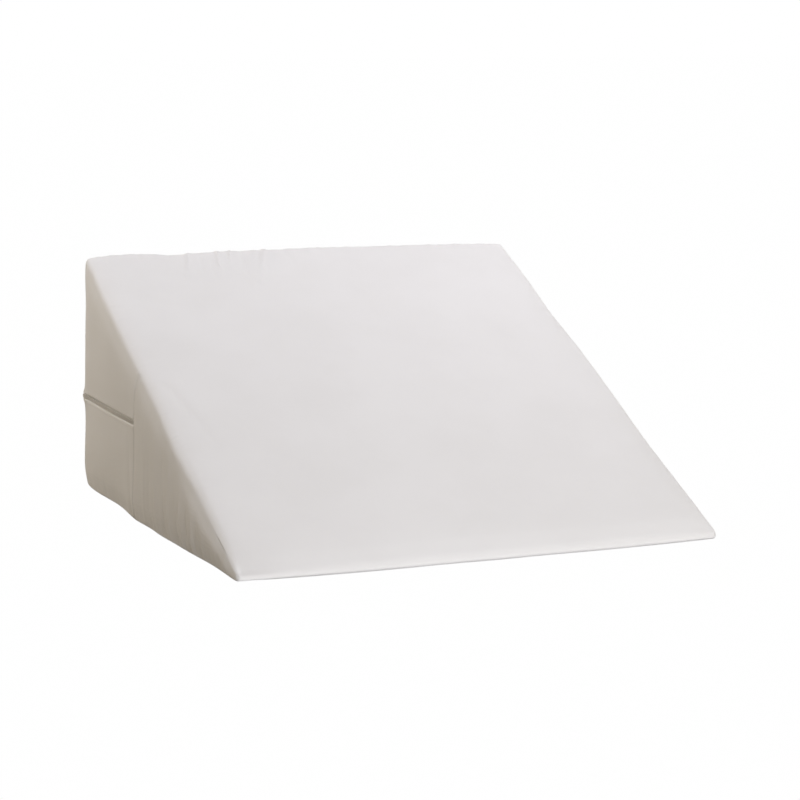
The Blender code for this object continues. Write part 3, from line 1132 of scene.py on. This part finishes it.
    def roll_depth(self, places: np.ndarray, from_top: np.ndarray, from_tip: np.ndarray) -> np.ndarray:
        """How far the top panel has come down by its side seams.

        Args:
            places: The cover's vertices.
            from_top: Their depths below the straight slope.
            from_tip: Their shares of the depth from the tip.

        Returns:
            One depth for each vertex.
        """
        half = self.sizes.width / 2
        clear, reach = self.roll_down
        up_high = bell(np.maximum(from_top - clear, 0.0), reach)
        inside = np.clip(half - np.abs(places[:, 0]), 0.0, None)
        rolled = self.shoulder_drop * bell(inside, self.shoulder_reach) * up_high
        tall, thin = self.left_slump
        slump = tall + (thin - tall) * np.clip(1.0 - from_tip, 0.0, 1.0)
        near_left = np.clip(1.0 - (places[:, 0] + half) / self.slump_reach, 0.0, 1.0) ** 2
        return rolled + np.where(places[:, 0] < 0.0, slump * near_left * up_high, 0.0)

    def left_draw(self, places: np.ndarray, from_top: np.ndarray, from_tip: np.ndarray) -> np.ndarray:
        """How far the left slope seam is drawn in.

        Args:
            places: The cover's vertices.
            from_top: Their depths below the straight slope.
            from_tip: Their shares of the depth from the tip.

        Returns:
            One distance for each vertex.
        """
        middle, reach, size = self.seam_wave
        draw = self.seam_draw + self.tip_draw * (1.0 - from_tip) ** 3
        draw = draw + size * bell(places[:, 1] - middle, reach)
        across, down = self.draw_reach
        by_seam = bell(np.maximum(places[:, 0] + self.sizes.width / 2, 0.0), across)
        return draw * by_seam * bell(np.maximum(from_top, 0.0), down)

    def side_swell(self, places: np.ndarray, from_top: np.ndarray) -> np.ndarray:
        """How far the side panels stand out over the base.

        Args:
            places: The cover's vertices.
            from_top: Their depths below the straight slope.

        Returns:
            One distance for each vertex.
        """
        low, reach = places[:, 2], self.side_fill_reach
        fuller = smooth_step(low, 0.0, reach) * smooth_step(from_top, 0.0, reach)
        fuller = fuller * (1.0 - smooth_step(low, reach, self.side_fill_top))
        inside = self.sizes.width / 2 - np.abs(places[:, 0])
        return self.side_fill * fuller * np.clip(1.0 - inside / reach, 0.0, 1.0)

    def ridge_share(self, normals: np.ndarray) -> np.ndarray:
        """How near each vertex is to the middle of a side seam's turn.

        Args:
            normals: The vertex normals.

        Returns:
            One share for each vertex, one in the middle.
        """
        slope, side = normals @ Panel.SLOPE.facing(), np.abs(normals[:, 0])
        turn = np.clip(1.0 - np.abs(slope - side) * self.ridge_turn, 0.0, 1.0)
        turn[(slope < self.ridge_least) | (side < self.ridge_least)] = 0.0
        return turn * turn

    def flat_places(self, panel: Panel, places: np.ndarray) -> np.ndarray:
        """Flat coordinates of places on a panel.

        Args:
            panel: The panel.
            places: The places.

        Returns:
            Two coordinates in metres for each place.
        """
        if panel in (Panel.LEFT, Panel.RIGHT):
            return places[:, (1, 2)]
        if panel in (Panel.BACK, Panel.FRONT):
            return places[:, (0, 2)]
        if panel is Panel.BASE:
            return places[:, (0, 1)]
        angle = self.sizes.slope_angle()
        along = (places[:, 1] + self.sizes.depth / 2) * math.cos(angle)
        along = along + (places[:, 2] - self.sizes.tip) * math.sin(angle)
        return np.stack([places[:, 0], along], axis=1)

    def crease(self, piece: Piece) -> None:
        """Raise the creases and the puckers along the seams.

        Args:
            piece: The cover.
        """
        mesh = piece.data
        places, normals = places_of(mesh), normals_of(mesh)
        rise = np.zeros(len(places))
        rows = list(CREASES) + [crease for gathers in GATHERS for crease in gathers.creases()]
        for panel in Panel:
            share = smooth_step(normals @ panel.facing(), *self.crease_facing)
            index = np.nonzero(share > 0.0)[0]
            flat = self.flat_places(panel, places[index])
            for row in (row for row in rows if row.panel is panel):
                rise[index] += share[index] * self.crease_height(row, flat)
        rise *= smooth_step(places[:, 2], *self.calm_base)
        moved = places + normals * rise[:, None]
        moved[:, 2] = np.maximum(moved[:, 2], 0.0)
        move_to(mesh, moved)

    def crease_height(self, row: Crease, flat: np.ndarray) -> np.ndarray:
        """Height of one crease over flat places.

        Args:
            row: The crease.
            flat: The flat places, in metres.

        Returns:
            One height in metres for each place.
        """
        start, end = np.array(row.start) * MILLIMETRE, np.array(row.end) * MILLIMETRE
        run = end - start
        length = float(np.linalg.norm(run))
        way = run / length
        offset = flat - start
        along = offset @ way
        across = offset @ np.array((-way[1], way[0]))
        reach = row.reach * MILLIMETRE
        beyond = np.maximum(np.maximum(-along, along - length), 0.0)
        fade = 1.0 - self.crease_loss * np.clip(along / length, 0.0, 1.0) ** 2
        tail = bell(beyond, self.crease_tail * reach)
        return row.rise * MILLIMETRE * bell(across, reach) * tail * fade

    def map_cloth(self, piece: Piece) -> None:
        """Lay each panel flat in a UV map that is measured in metres.

        Args:
            piece: The cover.
        """
        mesh = piece.data
        layer = mesh.uv_layers.new(name=UV_NAME)
        places = places_of(mesh)
        loops = np.zeros(len(mesh.loops), np.int64)
        mesh.loops.foreach_get("vertex_index", loops)
        face_normals = np.zeros(len(mesh.polygons) * 3)
        mesh.polygons.foreach_get("normal", face_normals)
        face_normals = face_normals.reshape(-1, 3)
        totals = np.zeros(len(mesh.polygons), np.int64)
        mesh.polygons.foreach_get("loop_total", totals)
        panels = list(Panel)
        best = np.argmax(np.stack([face_normals @ panel.facing() for panel in panels]), axis=0)
        per_loop = np.repeat(best, totals)
        uv = np.zeros((len(loops), 2))
        for number, panel in enumerate(panels):
            here = per_loop == number
            uv[here] = self.flat_places(panel, places[loops[here]])
        layer.uv.foreach_set("vector", uv.ravel().astype(np.float32))


@dataclass
class Zip:
    """The coil zip: its tape, the two rows of coil, and the stitching that holds it in.

    Args:
        tape_finish: The woven tape.
        coil_finish: The nylon coil.
        thread_finish: The stitching.
        metal_finish: The slider and its pull.
        sizes: The cushion's sewn sizes.
        ray_step: Distance between the rays that trace the zip's line.
        ray_reach: How far outside the cushion they start.
        corner_rays: Rays round each back corner.
        tape_sink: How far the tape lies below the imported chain's face.
        coil_pitch: Distance between turns of the coil.
        coil_bar: Length, width and depth of one turn.
        coil_rise: Middle of each row above and below the zip's middle line.
        coil_sink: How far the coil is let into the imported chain's face.
        coil_lean: Lean of each turn along the zip.
        stitch_length: Length of one stitch.
        stitch_pitch: Distance between stitches.
        stitch_radius: Radius of the thread.
        stitch_offset: Distance of the stitching from the zip's middle line.
        stitch_lift: How far the thread's middle stands off the cloth, in thread radii.
    """

    tape_finish: WovenTape = field(default_factory=WovenTape)
    coil_finish: NylonCoil = field(default_factory=NylonCoil)
    thread_finish: StitchThread = field(default_factory=StitchThread)
    metal_finish: EnamelledMetal = field(default_factory=EnamelledMetal)
    sizes: WedgeSizes = SIZES
    ray_step: float = 0.0012
    ray_reach: float = 0.05
    corner_rays: int = 13
    tape_sink: float = 0.0006
    coil_pitch: float = 0.00130
    coil_bar: Triple = (0.0026, 0.00086, 0.0010)
    coil_rise: float = 0.00095
    coil_sink: float = 0.0004
    coil_lean: float = math.radians(9)
    stitch_length: float = 0.0023
    stitch_pitch: float = 0.0031
    stitch_radius: float = 0.00022
    stitch_offset: float = 0.0072
    stitch_lift: float = 0.3

    def ray_line(self) -> Traced:
        """Rays that trace the zip, from the left end round the back to the right.

        Returns:
            Points outside the cushion, each with its way inwards.
        """
        x, y, turn = self.sizes.width / 2, self.sizes.depth / 2, self.sizes.edge_radius
        step, reach, start = self.ray_step, self.ray_reach, self.sizes.seam_y()
        rays: Traced = []
        for i in range(int((y - turn - start) / step)):
            rays.append((Vector((-x - reach, start + step * i, 0)), Vector((1, 0, 0))))
        for i in range(self.corner_rays):
            angle = math.pi - math.pi / 2 * i / (self.corner_rays - 1)
            way = Vector((math.cos(angle), math.sin(angle), 0.0))
            rays.append((Vector((turn - x, y - turn, 0)) + way * reach, -way))
        for i in range(1, int(x / step)):
            rays.append((Vector((turn - x + step * i, y + reach, 0)), Vector((0, -1, 0))))
        mirrored = [(Vector((-p.x, p.y, 0)), Vector((-d.x, d.y, 0))) for p, d in reversed(rays)]
        return rays + mirrored

    def trace(self, tree: BVHTree, height: float) -> Traced:
        """Follow an outer face at a height.

        Args:
            tree: Search tree of the mesh that is followed.
            height: Height above the floor.

        Returns:
            Places on the face, each with the face's level way out.
        """
        found: Traced = []
        for point, way in self.ray_line():
            spot = tree.ray_cast(Vector((point.x, point.y, height)), way)[0]
            if spot is not None:
                found.append((spot, -way))
        return found

    def even_places(self, line: Traced, pitch: float, start: float) -> list[tuple[Vector, Vector, Vector]]:
        """Evenly spaced places on a traced line.

        Args:
            line: The traced line.
            pitch: Distance between places.
            start: Distance of the first from the line's start.

        Returns:
            Each place with its ways out and along.
        """
        spots, outs = (np.array([tuple(row[part]) for row in line]) for part in (0, 1))
        run = np.concatenate([[0.0], np.cumsum(np.linalg.norm(np.diff(spots, axis=0), axis=1))])
        made = []
        for value in np.arange(start, run[-1], pitch):
            spot = Vector([np.interp(value, run, spots[:, i]) for i in range(3)])
            out = Vector([np.interp(value, run, outs[:, i]) for i in range(3)]).normalized()
            made.append((spot, out, UP.cross(out)))
        return made

    def small_bar(self, length: float, width: float, depth: float) -> Piece:
        """A round-ended bar along Z, from a low sphere.

        Args:
            length: Its length.
            width: Its width.
            depth: Its depth.

        Returns:
            The bar.
        """
        deselect_all()
        bpy.ops.mesh.primitive_uv_sphere_add(segments=6, ring_count=5, radius=0.5)
        bar = bpy.context.object
        bpy.ops.object.mode_set(mode="EDIT")
        bpy.ops.mesh.select_all(action="SELECT")
        bpy.ops.transform.resize(value=(width, depth, length))
        bpy.ops.object.mode_set(mode="OBJECT")
        return bar

    def placed(self, spot: Vector, out: Vector, along: Vector, tilt: float) -> Matrix:
        """A place whose X runs along the zip, Y outwards and Z up, leant along the zip by tilt."""
        turned = Matrix((along, out, UP)).transposed().to_4x4()
        return Matrix.Translation(spot) @ turned @ Matrix.Rotation(tilt, 4, "Y")

    def finish_piece(self, piece: Piece, material: Material) -> Piece:
        """Dress a piece and let it ride on the cushion.

        Args:
            piece: The piece.
            material: Its finish.

        Returns:
            The same piece.
        """
        piece.data.materials.clear()
        piece.data.materials.append(material)
        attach(piece, ROOT)
        log.info("%s: %d faces", piece.name, len(piece.data.polygons))
        return piece

    def build_tape(self) -> Piece:
        """The tape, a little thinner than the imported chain.

        Returns:
            The tape, which stands for the chain.
        """
        tape = copy_of_node(CHAIN_NODE, "zip_tape")
        places, normals = places_of(tape.data), normals_of(tape.data)
        middle = np.array([0.0, 0.0, self.sizes.zip_height])
        level = normals * np.array([1.0, 1.0, 0.0])
        outward = np.einsum("ij,ij->i", level, places - middle) > 0.0
        places[outward] -= level[outward] * self.tape_sink
        move_to(tape.data, places)
        self.finish_piece(tape, self.tape_finish.material())
        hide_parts(CHAIN_NODE)
        return tape

    def build_coil(self) -> Piece:
        """Two rows of turns that mesh along the middle of the zip.

        Returns:
            The coil.
        """
        line = self.trace(tree_of(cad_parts[CHAIN_NODE].data), self.sizes.zip_height)
        spots: list[Matrix] = []
        for side, first in ((1.0, 1.0), (-1.0, 1.5)):
            rise = UP * side * self.coil_rise
            for spot, out, along in self.even_places(line, self.coil_pitch, first * self.coil_pitch):
                centre = spot - out * self.coil_sink + rise
                spots.append(self.placed(centre, out, along, side * self.coil_lean))
        coil = joined_copies(self.small_bar(*self.coil_bar), spots, "zip_coil")
        return self.finish_piece(coil, self.coil_finish.material())

    def build_stitches(self, cover: Piece) -> Piece:
        """A row of stitching above and below the zip, lying on the cloth.

        Args:
            cover: The finished cover.

        Returns:
            The stitching.
        """
        tree = tree_of(cover.data)
        spots: list[Matrix] = []
        for side in (1.0, -1.0):
            line = self.trace(tree, self.sizes.zip_height + side * self.stitch_offset)
            for spot, out, along in self.even_places(line, self.stitch_pitch, self.stitch_pitch):
                centre = spot + out * self.stitch_radius * self.stitch_lift
                spots.append(self.placed(centre, out, along, math.pi / 2))
        bar = self.small_bar(self.stitch_length, 2 * self.stitch_radius, 2 * self.stitch_radius)
        stitches = joined_copies(bar, spots, "zip_topstitch")
        return self.finish_piece(stitches, self.thread_finish.material())

    def dress_metal(self) -> None:
        """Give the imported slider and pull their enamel."""
        enamel = self.metal_finish.material()
        for node in (SLIDER_NODE, PULL_NODE):
            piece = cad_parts[node]
            for slot in piece.material_slots:
                slot.material = enamel
            log.info("%s: packed node with its own finish", node)

    def build(self, cover: Piece) -> None:
        """Build every part of the zip.

        Args:
            cover: The finished cover, which the stitching lies on.
        """
        self.build_tape()
        self.build_coil()
        self.build_stitches(cover)
        self.dress_metal()


@dataclass(frozen=True)
class Lamp:
    """A soft area light.

    Args:
        name: What it does.
        azimuth: Way to it round the cushion in degrees, nought in front of the tip and 90 on the right.
        elevation: Height angle in degrees.
        distance: Distance from the cushion's middle.
        size: Width of the light.
        power: Red, green and blue power in watts.
    """

    name: str
    azimuth: float
    elevation: float
    distance: float
    size: float
    power: RGB


LAMPS: tuple[Lamp, ...] = (
    Lamp("front_key", 0.0, 14.0, 3.0, 1.6, (60.6, 60.0, 61.0)),
    Lamp("front_low", 28.0, -20.0, 1.6, 0.9, (3.2, 3.2, 3.3)),
    Lamp("front_under", 6.0, -62.0, 3.0, 1.6, (26.0, 26.0, 27.0)),
    Lamp("right_front_fill", 65.0, 12.0, 3.0, 2.0, (4.6, 3.8, 0.8)),
    Lamp("right_back_glow", 110.0, 60.0, 1.2, 0.8, (6.2, 6.1, 6.5)),
    Lamp("left_back_glow", -130.0, 36.0, 1.1, 0.6, (2.3, 2.3, 2.4)),
    Lamp("left_fill", -118.0, 13.0, 2.4, 0.9, (11.6, 9.6, 6.6)),
    Lamp("overhead", -20.0, 78.0, 1.2, 0.8, (0.95, 0.95, 1.05)),
    Lamp("back_wash", 178.0, 10.0, 3.0, 2.0, (26.0, 25.5, 25.0)),
)


@dataclass
class Studio:
    """Pale floor, white surroundings and soft lights.

    Args:
        floor: The floor's finish.
        floor_size: Width of the floor.
        floor_drop: How far it lies below the base.
        bounce: Colour of the matt sheet that throws light up from the floor.
        bounce_size: Width of that sheet.
        bounce_drop: How far it lies below the base.
        ambient: Colour and strength of the light from all round.
        backdrop: Brightness behind the floor, as the camera sees it.
        lamps: The area lights.
    """

    floor: PaleFloor = field(default_factory=PaleFloor)
    floor_size: float = 120.0
    floor_drop: float = 0.0002
    bounce: RGB = (0.26, 0.245, 0.22)
    bounce_size: float = 8.0
    bounce_drop: float = 0.0001
    ambient: RGB = (0.12, 0.105, 0.084)
    backdrop: float = 1.0
    lamps: tuple[Lamp, ...] = LAMPS

    def build(self) -> None:
        """Set up the floor, the surroundings and each lamp.

        The camera sees the floor, which throws no light on the cushion. It doesn't see the matt sheet on it,
        which throws the floor's soft light up.
        """
        floor = self.lay_sheet("studio_floor", self.floor_size, self.floor_drop, self.floor.material())
        floor.visible_diffuse, floor.visible_glossy = False, False
        bench = NodeBench("matt_sheet")
        bench.set(Base_Color=(*self.bounce, 1.0), Roughness=1.0, Specular_IOR_Level=0.0)
        sheet = self.lay_sheet("floor_bounce", self.bounce_size, self.bounce_drop, bench.material)
        sheet.visible_camera = False
        self.build_surroundings()
        for lamp in self.lamps:
            self.build_lamp(lamp)
        settings = bpy.context.scene.view_settings
        settings.view_transform = "Standard"
        settings.look = "None"

    def lay_sheet(self, name: str, size: float, drop: float, material: Material) -> Piece:
        """Lay a level square that casts no shadow.

        Args:
            name: Its name.
            size: Its width.
            drop: How far it lies below the cushion's base.
            material: Its finish.

        Returns:
            The square.
        """
        deselect_all()
        bpy.ops.mesh.primitive_plane_add(size=size, location=(0.0, 0.0, -drop))
        sheet = bpy.context.object
        sheet.name = name
        settle_transform(sheet)
        sheet.data.materials.append(material)
        sheet.visible_shadow = False
        return sheet

    def build_surroundings(self) -> None:
        """Dim light from all round, and a white backdrop where the camera sees past the floor."""
        world = bpy.data.worlds.new("surroundings")
        bpy.context.scene.world = world
        world.use_nodes = True
        nodes, links = world.node_tree.nodes, world.node_tree.links
        soft = nodes["Background"]
        soft.inputs["Color"].default_value = (*self.ambient, 1.0)
        bright = nodes.new("ShaderNodeBackground")
        bright.inputs["Color"].default_value = (1.0, 1.0, 1.0, 1.0)
        bright.inputs["Strength"].default_value = self.backdrop
        seen = nodes.new("ShaderNodeLightPath")
        mix = nodes.new("ShaderNodeMixShader")
        links.new(seen.outputs["Is Camera Ray"], mix.inputs[0])
        links.new(soft.outputs[0], mix.inputs[1])
        links.new(bright.outputs[0], mix.inputs[2])
        links.new(mix.outputs[0], nodes["World Output"].inputs["Surface"])

    def build_lamp(self, lamp: Lamp) -> Piece:
        """Hang one area light, turned to the cushion's middle.

        Args:
            lamp: The light's description.

        Returns:
            The light.
        """
        strength = max(lamp.power)
        data = bpy.data.lights.new(lamp.name, "AREA")
        data.shape, data.size = "DISK", lamp.size
        data.energy = strength
        data.color = [part / strength for part in lamp.power]
        light = add_object(lamp.name, data)
        stand_round(light, UP * SIZES.height / 2, lamp.azimuth, lamp.elevation, lamp.distance)
        return light


@dataclass(frozen=True)
class Viewpoint:
    """The photograph's camera.

    Args:
        azimuth: Way to the camera round the cushion, in degrees.
        elevation: Its height angle in degrees.
        distance: Its distance from the target.
        target: What it looks at.
        lens: Focal length in millimetres.
        sensor: Width of the sensor in millimetres.
        clip: Nearest and farthest distance that it sees.
    """

    azimuth: float = -22.384
    elevation: float = 8.748
    distance: float = 2.952
    target: Triple = (0.0217, 0.0, 0.1411)
    lens: float = 106.17
    sensor: float = 36.0
    clip: Pair = (0.05, 200.0)

    def build(self) -> Piece:
        """Place the camera and make it the scene's own.

        Returns:
            The camera.
        """
        data = bpy.data.cameras.new("studio_camera")
        data.lens, data.sensor_width = self.lens, self.sensor
        data.clip_start, data.clip_end = self.clip
        camera = add_object("studio_camera", data)
        stand_round(camera, Vector(self.target), self.azimuth, self.elevation, self.distance)
        bpy.context.scene.camera = camera
        return camera


def main() -> None:
    """Build the cushion piece by piece, then the studio round it."""
    cover = Cover().build()
    log.info("%s: %d faces", cover.name, len(cover.data.polygons))
    Zip().build(cover)
    Studio().build()
    camera = Viewpoint().build()
    log.info("%s and %d lamps placed", camera.name, len(LAMPS))


if __name__ == "__main__":
    main()
